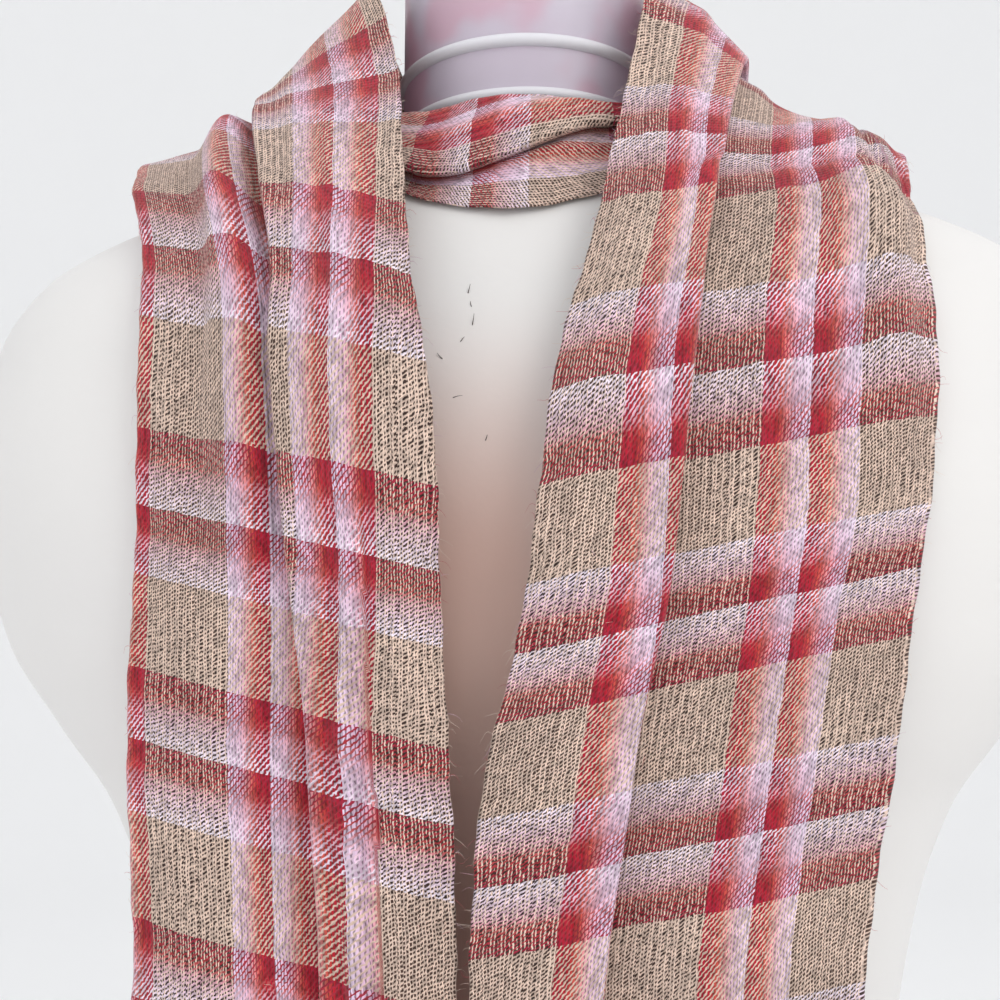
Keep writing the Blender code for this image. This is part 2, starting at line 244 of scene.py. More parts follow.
RIGHT_TAIL = (
    (-8, -137, 100, 112, -128, 108, 0.33, 0.18, 0.24, 4.6, 0, 49, 146, 250, 483),
    (-11, -139, 262, 121, -126, 285, 0.32, 0.20, 0.24, 4.6, 0, 49, 146, 250, 299),
    (-6, -142, 345, 136, -122, 372, 0.34, 0.22, 0.22, 4.6, 0, 48, 147, 250, 205),
    (6, -144, 405, 149, -113, 436, 0.34, 0.23, 0.20, 4.6, 0, 52, 151, 250, 137),
    (14, -141, 455, 156, -108, 484, 0.33, 0.22, 0.20, 4.6, 0, 55, 154, 250, 84),
    (21, -127, 505, 160, -93, 530, 0.34, 0.22, 0.18, 4.6, 0, 58, 157, 250, 46),
    (32, -108, 555, 161, -62, 576, 0.34, 0.22, 0.16, 4.6, 0, 57, 158, 250, 6),
    (44, -74, 622, 165, -22, 612, 0.34, 0.20, 0.14, 4.4, 10, 60, 160, 250, -50),
    (54, -42, 690, 160, 42, 616, 0.38, 0.16, 0.10, 4.0, 13, 60, 160, 250, -115),
    (72, 26, 716, 118, 92, 604, 0.50, 0.14, 0.07, 3.4, 12, 60, 150, 245, -180),
)
BACK_STRETCH = (
    (72, 26, 716, 118, 92, 604, 0.50, 0.14, 0.12, 3.4, 12, 60, 150, 245, -180),
    (44, 72, 704, 58, 108, 599, 0.54, 0.14, 0.12, 3.2, 0, 62, 150, 240, -235),
    (-2, 84, 696, -2, 108, 602, 0.54, 0.14, 0.12, 3.2, 0, 62, 150, 240, -280),
    (-32, 78, 706, -35, 98, 652, 0.54, 0.14, 0.10, 3.0, 0, 62, 150, 240, -315),
    (-50, 52, 718, -58, 68, 684, 0.54, 0.16, 0.10, 2.8, 0, 62, 150, 235, -345),
)
FRONT_LOOP = (
    (-63, -16, 650, -71, -22, 622, 0.80, 0.26, 0.0, 3.2, 58, 18, 140, 156, 40),
    (-57, -40, 635, -69, -53, 606, 0.82, 0.26, 0.0, 3.4, 58, 18, 142, 156, 22),
    (-34, -60, 626, -39, -84, 579, 0.82, 0.28, 0.0, 3.8, 57, 18, 144, 156, -2),
    (0, -67, 628, 0, -94, 572, 0.56, 0.28, 0.0, 3.8, 50, 20, 133, 156, -44),
    (35, -60, 626, 41, -85, 579, 0.26, 0.16, 0.0, 3.8, 38, 26, 118, 156, -85),
    (57, -40, 635, 70, -53, 606, 0.26, 0.14, 0.0, 3.4, 36, 27, 116, 156, -109),
    (63, -16, 650, 72, -22, 622, 0.26, 0.14, 0.0, 3.2, 36, 27, 116, 156, -132),
)
LENGTH_COLUMNS = SECTION_COLUMNS[:6] + ("step", "u_in", "u_fold", "u_open", "u_out", "v")

# Ridges and turned edges on the open panel, one row a fold: where it starts and ends along the
# stretch and across it as shares, then its width, height and lean in millimetres
RIDGE_COLUMNS = ("from_s", "to_s", "from_q", "to_q", "width", "height", "lean")
LEFT_RIDGES = (
    (0.40, 0.86, 0.62, 0.69, 20, 13, -2),
    (0.00, 0.52, 0.80, 0.70, 40, 5, 0),
)
RIGHT_RIDGES = (
    (0.50, 0.98, 1.00, 0.68, 40, 9, -2),
    (0.00, 0.62, 0.70, 0.64, 46, 5, 0),
)
BACK_RIDGES = ((0.0, 0.8, 0.72, 0.80, 26, 4, 0),)

# Creases, one row a crease: its two ends as shares along the stretch and millimetres across the
# cut, then its half width and height in millimetres. A negative height is a trough.
CREASE_COLUMNS = ("from_s", "from_u", "to_s", "to_u", "width", "height")
LEFT_CREASES = (
    (0.04, 34, 0.50, 44, 3.2, 3.0),
    (0.04, 28, 0.49, 37, 2.2, -2.2),
    (0.40, 44, 0.72, 50, 4.5, 2.0),
    (0.44, 38, 0.70, 44, 3.5, -1.4),
    (0.46, 160, 0.66, 136, 5.0, 2.2),
    (0.34, 150, 0.56, 174, 7.0, -1.4),
    (0.62, 24, 0.80, 14, 4.0, 1.5),
    (0.55, 62, 0.78, 70, 5.0, 1.7),
    (0.10, 120, 0.42, 128, 6.0, 1.5),
    (0.02, 158, 0.30, 150, 8.0, -1.2),
    (0.84, 120, 0.96, 140, 6.0, 1.6),
    (0.56, 108, 0.86, 104, 7.0, -5.5),
    (0.50, 92, 0.84, 84, 5.0, 1.8),
)
RIGHT_CREASES = (
    (0.52, 176, 0.80, 190, 5.0, 1.9),
    (0.60, 196, 0.78, 206, 5.0, -1.5),
    (0.14, 30, 0.52, 24, 6.0, 1.4),
    (0.30, 12, 0.62, 10, 5.0, -1.3),
    (0.06, 186, 0.36, 190, 9.0, 1.3),
    (0.18, 216, 0.50, 222, 7.0, -1.2),
    (0.55, 236, 0.80, 214, 5.0, 1.6),
    (0.70, 40, 0.96, 34, 4.0, 1.8),
    (0.66, 20, 0.92, 16, 3.5, -1.4),
    (0.84, 170, 0.99, 184, 6.0, 1.8),
    (0.66, 247, 0.99, 199, 2.0, -2.4),
    (0.64, 240, 0.99, 192, 3.0, 1.8),
)
BACK_CREASES = (
    (0.05, 20, 0.60, 30, 4.0, 1.5),
    (0.20, 190, 0.90, 176, 5.0, 1.4),
    (0.40, 44, 0.95, 36, 4.0, -1.2),
    (0.10, 214, 0.50, 222, 5.0, -1.2),
)
LOOP_CREASES = (
    (0.10, 44, 0.70, 36, 3.0, 1.2),
    (0.30, 22, 0.85, 28, 3.0, -1.0),
    (0.35, 124, 0.90, 130, 3.5, 1.2),
    (0.15, 112, 0.60, 118, 3.0, -0.9),
)


# Places where the cloth laps over itself along a line, so that part of the cut is hidden: the line's
# two ends, the place on the cut that shows just beyond it and the place where the cut is whole again
TUCK_COLUMNS = ("from_s", "from_u", "to_s", "to_u", "shows_u", "until_u")
LEFT_TUCKS = (
    (0.00, 28, 0.32, 28, 38, 75),
    (0.32, 28, 0.46, 38, 38, 75),
)
RIGHT_TUCKS = ((0.70, 246, 1.00, 196, 175, 900),)


def tangents_of(keys, table):
    """Slopes at the keys that draw a smooth curve down each column, with no overshoot."""
    steps = np.diff(keys)[:, None]
    slopes = np.diff(table, axis=0) / steps
    tangents = np.zeros_like(table)
    before, after = slopes[:-1], slopes[1:]
    same = before * after > 0
    total = steps[:-1] + steps[1:]
    safe_before = np.where(same, before, 1.0)
    safe_after = np.where(same, after, 1.0)
    weight_before = total + steps[1:]
    weight_after = total + steps[:-1]
    mean = (weight_before + weight_after) / (weight_before / safe_before + weight_after / safe_after)
    tangents[1:-1] = np.where(same, mean, 0.0)
    tangents[0] = slopes[0]
    tangents[-1] = slopes[-1]
    return tangents


def sample(keys, table, tangents, x):
    """The table's row at each x, on smooth curves between its rows."""
    i = np.clip(np.searchsorted(keys, x) - 1, 0, len(keys) - 2)
    step = (keys[i + 1] - keys[i])
    t = np.clip((x - keys[i]) / step, 0.0, 1.0)[..., None]
    step = step[..., None]
    return (
        (1 + 2 * t) * (1 - t) ** 2 * table[i]
        + t * (1 - t) ** 2 * step * tangents[i]
        + t * t * (3 - 2 * t) * table[i + 1]
        + t * t * (t - 1) * step * tangents[i + 1]
    )


def ease(t):
    t = np.clip(t, 0.0, 1.0)
    return t * t * (3 - 2 * t)


TORSO_TANGENTS = tangents_of(TORSO_ROWS[:, 0], TORSO_ROWS)


def form_radius(angle, z):
    """Distance from the Z axis to the form's surface at each angle and height."""
    row = sample(TORSO_ROWS[:, 0], TORSO_ROWS, TORSO_TANGENTS, np.clip(z, 0.0, NECK_SEAT_Z))
    section = {name: row[..., k] for k, name in enumerate(TORSO_COLUMNS)}
    depth = np.where(np.sin(angle) < 0, section["front"], section["back"])
    across = np.abs(np.cos(angle)) / section["half_width"]
    along = np.abs(np.sin(angle)) / depth
    power = section["squareness"]
    radius = (across ** power + along ** power) ** (-1 / power)
    return np.where(z > NECK_SEAT_Z, NECK_OUTER_RADIUS + RIB_RADIUS, radius)


def off_form(points, lift, settled=False):
    """The points, moved along the form's normal until each is at least lift away from it, or
    exactly lift away where the cloth has settled."""
    points = np.array(points, float)
    step = SLOPE_STEP
    for _ in range(FORM_STEPS):
        x, y, z = points[..., 0], points[..., 1], points[..., 2]
        angle = np.arctan2(y, x)
        radial = np.hypot(x, y)
        slope = (form_radius(angle, z + step) - form_radius(angle, z - step)) / (2 * step)
        slope = np.clip(slope, *SLOPE_LIMITS)
        size = np.hypot(1.0, slope)
        short = lift - (radial - form_radius(angle, z)) / size
        if not settled:
            short = np.maximum(short, 0.0)
        radial = radial + short / size
        z = z - short * slope / size
        points = np.stack((radial * np.cos(angle), radial * np.sin(angle), z), axis=-1)
    return points


class Stretch:
    """A smooth run of cloth sections: where each point across and along it lies."""

    def __init__(self, rows, ridges, creases, flip, settled_lift=None, rest_lift=REST_LIFT, tucks=()):
        self.table = np.array(rows, float)
        for name in LENGTH_COLUMNS:
            self.table[:, SECTION_COLUMNS.index(name)] *= MM
        self.ridges = ridges
        self.creases = creases
        self.tucks = tucks
        self.flip = flip
        self.settled_lift = settled_lift
        self.rest_lift = rest_lift
        middle = (self.table[:, 0:3] + self.table[:, 3:6]) / 2
        gaps = np.linalg.norm(np.diff(middle, axis=0), axis=1)
        self.keys = np.concatenate(((0.0,), np.cumsum(gaps)))
        self.length = self.keys[-1]
        self.tangents = tangents_of(self.keys, self.table)

    def rows_at(self, s):
        """Each column by name, at each distance s along the stretch."""
        values = sample(self.keys, self.table, self.tangents, np.clip(s, 0.0, self.length))
        return {name: values[..., k] for k, name in enumerate(SECTION_COLUMNS)}

    def base(self, s, q):
        values = sample(self.keys, self.table, self.tangents, np.clip(s, 0.0, self.length))
        line = values[..., 0:3] * (1 - q)[..., None] + values[..., 3:6] * q[..., None]
        return off_form(line, self.rest_lift)

    def frame(self, s, q):
        """The base points, and the directions across the cloth and out from the form there."""
        across = self.base(s, q + 0.04) - self.base(s, q - 0.04)
        along = self.base(s + 0.006, q) - self.base(s - 0.006, q)
        out = np.cross(along, across) * self.flip
        across /= np.linalg.norm(across, axis=-1, keepdims=True)
        out /= np.linalg.norm(out, axis=-1, keepdims=True)
        return self.base(s, q), across, out

    def ridge(self, s, reach, width):
        """How far the ridges move the open panel's points across and out."""
        shift = np.zeros_like(reach)
        lift = np.zeros_like(reach)
        for row in self.ridges:
            fold = dict(zip(RIDGE_COLUMNS, row))
            t = np.clip((s / self.length - fold["from_s"]) / (fold["to_s"] - fold["from_s"]), 0.0, 1.0)
            centre = (fold["from_q"] + (fold["to_q"] - fold["from_q"]) * t) * width
            near = np.maximum(0.0, 1 - np.abs(reach - centre) / (fold["width"] * MM))
            rise = near * near * (3 - 2 * near) * np.abs(np.sin(math.pi * t)) ** 0.7
            lift += rise * fold["height"] * MM
            shift += rise * fold["lean"] * MM
        return shift, lift

    def crease(self, s, u):
        """Height of the creases at each place on the cloth."""
        height = np.zeros_like(u)
        for row in self.creases:
            fold = dict(zip(CREASE_COLUMNS, row))
            t = (s / self.length - fold["from_s"]) / (fold["to_s"] - fold["from_s"])
            t = np.clip(t, 0.0, 1.0)
            wander = 1.5 * np.sin(9 * t + fold["from_u"])
            centre = (fold["from_u"] + (fold["to_u"] - fold["from_u"]) * t + wander) * MM
            near = np.exp(-((u - centre) / (fold["width"] * MM)) ** 2)
            height += near * np.sin(math.pi * t) ** 0.8 * fold["height"] * MM
        return height

    def tucked(self, s, u):
        """The place on the cut that shows at each point, past the lines where the cloth laps over."""
        shown = np.array(u)
        share = s / self.length
        for row in self.tucks:
            lap = dict(zip(TUCK_COLUMNS, row))
            t = (share - lap["from_s"]) / (lap["to_s"] - lap["from_s"])
            line = (lap["from_u"] + (lap["to_u"] - lap["from_u"]) * t) * MM
            stretch = (lap["until_u"] * MM - lap["shows_u"] * MM) / (lap["until_u"] * MM - line)
            past = (t >= 0) & (t < 1) & (u > line) & (u < lap["until_u"] * MM)
            shown = np.where(past, lap["shows_u"] * MM + (u - line) * stretch, shown)
        return shown


def section_profile(row):
    """For each row, the reach across and the lift of a section's points, and the four places that
    the cut is pinned to: inner edge, pleat, start of the open panel and outer edge."""
    width = row["width"][:, None]
    step = row["step"][:, None]
    radius = step / 2
    fold = row["fold_at"][:, None] * width
    hidden = fold - row["overlap"][:, None] * width
    has_under = row["under"].max() > 0
    floor = step if has_under else step * 0
    top = floor + 2 * step
    turn = np.linspace(0, math.pi, TURN_POINTS + 1)[None, :]
    reach = []
    lift = []

    def add(across, height):
        reach.append(across + 0 * height)
        lift.append(height + 0 * across)

    inner = fold * np.linspace(0, 1, INNER_POINTS, endpoint=False)[None, :]
    add(inner, floor + (top - floor) * (INNER_RISE + (1 - INNER_RISE) * ease(inner / (hidden - radius))))
    add(fold + radius * np.sin(turn), top - radius + radius * np.cos(turn))
    back = np.linspace(0, 1, HIDDEN_POINTS + 2)[None, 1:-1]
    add(fold + (hidden - fold) * back, floor + step)
    add(hidden - radius * np.sin(turn), floor + radius + radius * np.cos(turn))
    forth = np.linspace(0, 1, HIDDEN_POINTS + 1)[None, 1:]
    start = fold + radius
    add(hidden + (start - hidden) * forth, floor)
    open_columns = slice(sum(part.shape[1] for part in reach), None)
    along_open = np.linspace(0, 1, OPEN_POINTS + 1)[None, 1:]
    add(start + (width - start) * along_open, floor)
    pins = [0, INNER_POINTS + TURN_POINTS // 2, open_columns.start - 1]
    pins.append(open_columns.start + OPEN_POINTS - 1)
    open_columns = slice(open_columns.start, open_columns.start + OPEN_POINTS)
    under_share = np.zeros(open_columns.stop)
    if has_under:
        add(width + radius * np.sin(turn[:, 1:]), floor - radius + radius * np.cos(turn[:, 1:]))
        share = np.linspace(0, 1, UNDER_POINTS + 1)[None, 1:]
        add(width * (1 - row["under"][:, None] * share), 0.0)
        under_share = np.concatenate((under_share, np.zeros(TURN_POINTS), share[0]))
    return np.concatenate(reach, 1), np.concatenate(lift, 1), pins, open_columns, under_share


def cloth_grid(stretch, row_count, start=0.0):
    """The middle surface of a stretch, and the place of each of its points on the cut."""
    s = np.linspace(start, stretch.length, row_count)
    row = stretch.rows_at(s)
    edges = [np.stack([row[side + axis] for axis in "xyz"], axis=-1) for side in ("in_", "out_")]
    row["width"] = np.linalg.norm(edges[1] - edges[0], axis=-1)
    reach, lift, pins, open_columns, under_share = section_profile(row)
    width = row["width"][:, None]
    along = np.broadcast_to(s[:, None], reach.shape)
    opened = reach[:, open_columns]
    shift, rise = stretch.ridge(along[:, open_columns], opened, width)
    edge = ease((opened / width - row["fold_at"][:, None]) * 8) * ease((1 - opened / width) * 12)
    reach[:, open_columns] += shift * edge
    lift[:, open_columns] += rise * edge
    run = np.hypot(np.diff(reach, axis=1), np.diff(lift, axis=1))
    run = np.concatenate((np.zeros((row_count, 1)), np.cumsum(run, axis=1)), axis=1)
    u = np.empty_like(reach)
    for i in range(row_count):
        places = [row[name][i] for name in ("u_in", "u_fold", "u_open", "u_out")]
        at = [run[i, pin] for pin in pins]
        if reach.shape[1] > pins[-1] + 1:
            places.append(CUT_WIDTH)
            at.append(run[i, -1])
        u[i] = np.interp(run[i], at, places)
    v = np.broadcast_to(row["v"][:, None], reach.shape)
    q = np.clip(reach / width, 0.0, 1.0)
    point, across, out = stretch.frame(along, q)
    edge_wave = edge_wander(s)[:, None] * (1 - ease(np.abs(reach - 0) / 0.02))
    outer_wave = edge_wander(s + 0.37)[:, None] * (1 - ease(np.abs(width - reach) / 0.02))
    lift = lift + stretch.crease(along, u) * (under_share[None, :] == 0) + ripple(along, u)
    point = point + across * (reach - q * width + edge_wave + outer_wave)[..., None]
    point = point + out * lift[..., None]
    if stretch.settled_lift:
        droop = ease((point[..., 2] - DROOP_FROM_Z) / DROOP_RANGE) * np.minimum(1.0, 1.5 * under_share)
        droop = droop * ease((stretch.length - along - DROOP_END) / DROOP_RANGE)
        settled = off_form(point, stretch.settled_lift, settled=True)
        point = point * (1 - droop[..., None]) + settled * droop[..., None]
    return point, stretch.tucked(along, u), v


def edge_wander(s):
    """The small waves of a cut edge."""
    return sum(height * np.sin(rate * s + phase) for height, rate, phase in EDGE_WAVES)


def ripple(s, u):
    """The slight unevenness of loose cloth, under half a millimetre."""
    waves = (height * np.sin(along * s + across * u + phase) for height, along, across, phase in FACE_WAVES)
    return sum(waves)


def new_object(name, vertices, faces, materials, uv=None):
    mesh = bpy.data.meshes.new(name)
    mesh.from_pydata(np.asarray(vertices, float).tolist(), [], faces)
    for material in materials:
        mesh.materials.append(material)
    mesh.shade_smooth()
    if uv is not None:
        layer = mesh.uv_layers.new(name="cut")
        corners = np.empty(len(mesh.loops), np.int64)
        mesh.loops.foreach_get("vertex_index", corners)
        layer.data.foreach_set("uv", np.asarray(uv, np.float32)[corners].ravel())
    thing = bpy.data.objects.new(name, mesh)
    bpy.context.scene.collection.objects.link(thing)
    return thing


def cloth_shell(name, grid, u, v, material):
    """A thin wall on both sides of a grid of points, closed round its edge."""
    rows, cols = grid.shape[:2]
    normal = np.cross(np.gradient(grid, axis=0), np.gradient(grid, axis=1))
    normal /= np.linalg.norm(normal, axis=2, keepdims=True)
    half = SHELL_THICKNESS / 2
    vertices = np.concatenate(((grid + normal * half).reshape(-1, 3), (grid - normal * half).reshape(-1, 3)))
    offset = rows * cols
    a = (np.arange(rows - 1)[:, None] * cols + np.arange(cols - 1)[None, :]).ravel()
    front = np.stack((a, a + cols, a + cols + 1, a + 1), axis=1)
    faces = front.tolist() + (offset + front[:, ::-1]).tolist()
    rim = list(range(cols))
    rim += [i * cols + cols - 1 for i in range(1, rows)]
    rim += [(rows - 1) * cols + j for j in range(cols - 2, -1, -1)]
    rim += [i * cols for i in range(rows - 2, 0, -1)]
    for here, there in zip(rim, rim[1:] + rim[:1]):
        faces.append((here, there, offset + there, offset + here))
    flat = np.stack((u.ravel(), v.ravel()), axis=1)
    return new_object(name, vertices, faces, [material], np.concatenate((flat, flat)))


class NodeMaker:
    """Adds shader nodes to one material, with plain numbers or sockets as inputs."""

    def __init__(self, name):
        self.material = bpy.data.materials.new(name)
        self.material.use_nodes = True
        self.tree = self.material.node_tree
        self.shader = self.tree.nodes["Principled BSDF"]

    def put(self, socket, value):
        if isinstance(value, bpy.types.NodeSocket):
            self.tree.links.new(value, socket)
        else:
            socket.default_value = value

    def math(self, operation, *values):
        node = self.tree.nodes.new("ShaderNodeMath")
        node.operation = operation
        for socket, value in zip(node.inputs, values):
            self.put(socket, value)
        return node.outputs[0]

    def add(self, a, b):
        return self.math("ADD", a, b)

    def times(self, a, b):
        return self.math("MULTIPLY", a, b)

    def fract(self, a):
        return self.math("FRACT", a)

    def between(self, value, low, high, to_low=0.0, to_high=1.0):
        """value from low to high as to_low to to_high, eased at both ends."""
        node = self.tree.nodes.new("ShaderNodeMapRange")
        node.interpolation_type = "SMOOTHSTEP"
        for socket, number in zip(node.inputs[:5], (value, low, high, to_low, to_high)):
            self.put(socket, number)
        return node.outputs[0]

    def mix_number(self, share, a, b):
        node = self.tree.nodes.new("ShaderNodeMix")
        for socket, value in zip(node.inputs[0:1] + node.inputs[2:4], (share, a, b)):
            self.put(socket, value)
        return node.outputs[0]

    def mix(self, share, a, b, blend="MIX"):
        node = self.tree.nodes.new("ShaderNodeMix")
        node.data_type = "RGBA"
        node.blend_type = blend
        self.put(node.inputs["Factor"], share)
        self.put(node.inputs[6], a)
        self.put(node.inputs[7], b)
        return node.outputs[2]

    def ramp(self, value, stops):
        node = self.tree.nodes.new("ShaderNodeValToRGB")
        elements = node.color_ramp.elements
        while len(elements) < len(stops):
            elements.new(0.5)
        for element, (place, colour) in zip(elements, stops):
            element.position = place
            element.color = colour
        self.put(node.inputs[0], value)
        return node.outputs[0]

    def noise(self, vector, scale, detail=2.0):
        node = self.tree.nodes.new("ShaderNodeTexNoise")
        node.inputs["Scale"].default_value = scale
        node.inputs["Detail"].default_value = detail
        self.tree.links.new(vector, node.inputs["Vector"])
        return node.outputs["Fac"]

    def yarn_noise(self, number):
        """A fixed value from 0 to 1 for each whole number."""
        node = self.tree.nodes.new("ShaderNodeTexWhiteNoise")
        node.noise_dimensions = "1D"
        self.put(node.inputs["W"], number)
        return node.outputs["Value"]

    def cell_noise(self, across, along):
        """A fixed value from 0 to 1 for each whole-number cell of two places."""
        cell = self.tree.nodes.new("ShaderNodeCombineXYZ")
        self.put(cell.inputs[0], self.math("FLOOR", across))
        self.put(cell.inputs[1], self.math("FLOOR", along))
        node = self.tree.nodes.new("ShaderNodeTexWhiteNoise")
        node.noise_dimensions = "2D"
        self.tree.links.new(cell.outputs[0], node.inputs["Vector"])
        return node.outputs["Value"]

    def bump(self, height, distance, strength):
        node = self.tree.nodes.new("ShaderNodeBump")
        node.inputs["Distance"].default_value = distance
        node.inputs["Strength"].default_value = strength
        self.tree.links.new(height, node.inputs["Height"])
        self.tree.links.new(node.outputs[0], self.shader.inputs["Normal"])


def rgb(red, green, blue):
    """A colour given on the screen's scale of 0 to 255."""
    levels = (red, green, blue)
    linear = (((c / 255 + 0.055) / 1.055) ** 2.4 if c > 10 else c / 3294.6 for c in levels)
    return (*linear, 1.0)


# Colours: yarns, form, neck and stage
FORM_WHITE = rgb(237, 235, 232)
FORM_GREY = rgb(229, 227, 225)
# Painted shade: the warm, darker tone painted on the chest between the two tails
FORM_PAINTED_SHADE = rgb(222, 186, 172)
NECK_BLUE = rgb(229, 221, 233)
NECK_PINK = rgb(231, 200, 215)
RIB_WHITE = rgb(230, 229, 234)
SCRATCH_GREY = rgb(96, 88, 84)
STAGE_LIGHT = rgb(247, 247, 247)
STAGE_DIM = rgb(245, 245, 245)
WARP_FADE = (
    (0.00, rgb(170, 20, 50)),
    (0.28, rgb(182, 26, 44)),
    (0.40, rgb(202, 84, 72)),
    (0.54, rgb(224, 146, 150)),
    (0.70, rgb(228, 188, 212)),
    (1.00, rgb(230, 210, 232)),
)
WEFT_FADE = (
    (0.00, rgb(240, 228, 240)),
    (0.26, rgb(230, 204, 220)),
    (0.50, rgb(218, 164, 176)),
    (0.62, rgb(190, 90, 90)),
    (0.74, rgb(166, 48, 56)),
    (1.00, rgb(162, 38, 64)),
)
GROUND_WARP = rgb(232, 207, 191)
GROUND_WEFT = rgb(218, 192, 175)
# Painted shade in the gaps between the yarns, lighter and darker
GAP_SHADE_DARK = rgb(58, 40, 36)
GAP_SHADE_LIGHT = rgb(80, 58, 49)


def cloth_material():
    """The plaid, woven from each point's place on the cut: stripes, bands, twill lines and gaps, with
    painted shade in the gaps and on the yarns that lie below.
    """
    n = NodeMaker("cloth_plaid")
    uv = n.tree.nodes.new("ShaderNodeUVMap")
    uv.uv_map = "cut"
    place = n.tree.nodes.new("ShaderNodeSeparateXYZ")
    n.tree.links.new(uv.outputs[0], place.inputs[0])
    drift = n.times(n.math("SUBTRACT", n.noise(uv.outputs[0], DRIFT_SCALE, 1.0), 0.5), DRIFT_SIZE)
    u = n.add(n.times(place.outputs[0], 1000.0), drift)
    v = n.add(n.times(place.outputs[1], 1000.0), n.times(drift, DRIFT_ALONG))
    # Stripes
    from_first = n.math("SUBTRACT", u, STRIPE_FIRST)
    in_repeat = n.times(n.fract(n.times(from_first, 1 / STRIPE_REPEAT)), STRIPE_REPEAT)
    striped = n.math("LESS_THAN", in_repeat, 2 * STRIPE_WIDTH)
    striped = n.times(striped, n.math("GREATER_THAN", from_first, 0.0))
    striped = n.times(striped, n.math("LESS_THAN", u, STRIPE_SETS_END))
    stripe = n.ramp(n.fract(n.times(in_repeat, 1 / STRIPE_WIDTH)), WARP_FADE)
    warp = n.mix(striped, GROUND_WARP, stripe)
    # Bands
    along_repeat = n.times(n.fract(n.times(v, 1 / BAND_REPEAT)), BAND_REPEAT)
    in_set = n.math("SUBTRACT", along_repeat, BAND_REPEAT - 2 * BAND_WIDTH)
    banded = n.math("GREATER_THAN", in_set, 0.0)
    band = n.ramp(n.fract(n.times(in_set, 1 / BAND_WIDTH)), WEFT_FADE)
    weft = n.mix(banded, GROUND_WEFT, band)
    # Yarns of uneven thickness: the warp stands nearly straight, the weft slants where it floats
    fine = n.noise(uv.outputs[0], WOBBLE_SCALE, 0.0)
    wobble = n.math("SUBTRACT", fine, 0.5)
    warp_place = n.add(n.times(u, 1 / WARP_PITCH), n.times(wobble, WARP_WOBBLE))
    warp_wave = n.math("COSINE", n.times(warp_place, 2 * math.pi))
    step_number = n.math("FLOOR", n.times(u, 1 / FLOAT_STEP))
    slip = n.times(n.yarn_noise(step_number), GROUND_SLIP)
    plain_place = n.add(n.add(n.times(v, 1 / WEFT_PITCH), n.times(u, FLOAT_SLANT)), slip)
    twill_place = n.add(n.times(v, 1 / TWILL_PITCH), n.times(u, TWILL_SLANT))
    weft_place = n.add(n.mix_number(striped, plain_place, twill_place), n.times(wobble, WEFT_WOBBLE))
    weft_wave = n.math("COSINE", n.times(weft_place, 2 * math.pi))
    # The ground has an opener rib every few yarns, darker because more painted shade shows in its wider gaps
    blotch = n.noise(uv.outputs[0], BLOTCH_SCALE, 1.0)
    rib_wave = n.math("COSINE", n.times(u, 2 * math.pi / RIB_PITCH))
    rib = n.times(n.between(rib_wave, *RIB_RANGE), n.between(blotch, *BLOTCH_RANGE))
    ground = n.math("SUBTRACT", 1.0, striped)
    # Parts where the ground is a loose, even mesh in place of ribs
    loose = n.times(n.between(n.noise(uv.outputs[0], LOOSE_SCALE, 0.0), *LOOSE_RANGE), ground)
    rib = n.times(rib, n.mix_number(loose, 1.0, RIB_WHERE_LOOSE))
    opened = n.times(rib, ground)
    # How much of each yarn shows
    thinner = n.add(n.times(opened, RIB_ON_WARP), n.times(loose, LOOSE_ON_WARP))
    warp_profile = n.math("SUBTRACT", warp_wave, thinner)
    warp_mask = n.between(n.add(warp_profile, n.times(striped, STRIPE_ON_WARP)), *WARP_RANGE)
    thinner = n.add(n.times(opened, RIB_ON_WEFT), n.times(loose, LOOSE_ON_WEFT))
    weft_profile = n.math("SUBTRACT", weft_wave, thinner)
    weft_profile = n.math("SUBTRACT", weft_profile, n.times(striped, STRIPE_ON_WEFT))
    filled = n.times(n.times(banded, ground), BAND_ON_WEFT)
    weft_mask = n.between(n.add(weft_profile, filled), *WEFT_RANGE)
    over_phase = n.add(n.times(v, 1 / OVER_PITCH), n.times(u, OVER_SLANT))
    over_wave = n.math("COSINE", n.times(n.add(over_phase, n.times(wobble, OVER_WOBBLE)), 2 * math.pi))
    warp_over = n.times(n.between(over_wave, *OVER_RANGE), ground)
    thinner = n.add(n.times(opened, RIB_ON_BELOW), n.times(loose, LOOSE_ON_BELOW))
    below_wave = n.math("SUBTRACT", weft_wave, thinner)
    weft_below = n.between(below_wave, *BELOW_RANGE)
    # Painted shade in the gaps between the yarns, deeper in the opener rib and tinted by the warp in the
    # stripes; weft lying below the warp is darkened towards it as painted shade
    gap_shade = n.mix(n.between(rib, *GAP_RANGE), GAP_SHADE_LIGHT, GAP_SHADE_DARK)
    gap_shade = n.mix(striped, gap_shade, n.mix(STRIPE_GAP_SHARE, GAP_SHADE_DARK, warp))
    weft_shaded = n.mix(DEEP_WEFT_SHARE, weft, gap_shade)
